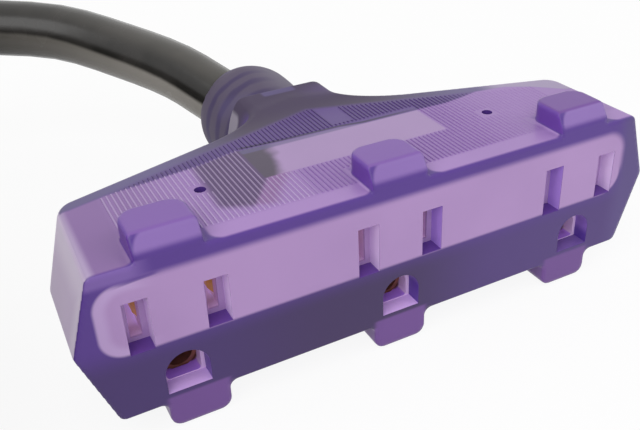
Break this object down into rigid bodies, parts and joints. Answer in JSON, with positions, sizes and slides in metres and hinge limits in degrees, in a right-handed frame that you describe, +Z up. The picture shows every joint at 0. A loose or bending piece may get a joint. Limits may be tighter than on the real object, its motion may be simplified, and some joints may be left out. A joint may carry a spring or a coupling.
{
  "type": "extension_cord",
  "caption": "Heavy-duty outdoor extension cord: a flat, translucent multi-outlet tap with a bell-shaped cord exit, a thick round cord laid in a coil, and a grounded plug",
  "frame": {"origin": "centre of the tap's own box, on the floor that its lower lobes stand on", "axes": "+X along the tap's length, from the first outlet to the third; -Y is the way the outlets face; +Z is up"},
  "size_m": [0.3381, 0.2361, 0.0567],
  "materials": {
    "purple_vinyl": "glossy",
    "core_plastic": "satin",
    "contact_brass": "satin",
    "black_insulation": "satin",
    "white_insulation": "satin",
    "green_insulation": "satin",
    "lamp_glass": "glossy",
    "resistor_body": "matte",
    "relief_vinyl": "satin",
    "cord_jacket": "satin"
  },
  "bodies": {
    "root": {"tap_overmould": "purple_vinyl", "contact_carrier": "core_plastic", "carrier_cover": "core_plastic", "line_bus": "contact_brass", "neutral_bus": "contact_brass", "ground_bus": "contact_brass", "line_lead": "black_insulation", "neutral_lead": "white_insulation", "ground_lead": "green_insulation", "neon_lamp": "lamp_glass", "lamp_resistor": "resistor_body", "tap_strain_relief": "relief_vinyl", "jacket_end": "cord_jacket", "cord_run": "cord_jacket", "cord_coil": "cord_jacket", "cord_tail": "cord_jacket", "plug_overmould": "purple_vinyl", "plug_core": "core_plastic", "line_blade": "contact_brass", "neutral_blade": "contact_brass", "ground_pin": "contact_brass", "plug_line_lead": "black_insulation", "plug_neutral_lead": "white_insulation", "plug_ground_lead": "green_insulation", "plug_jacket_end": "cord_jacket"}
  },
  "joints": []
}
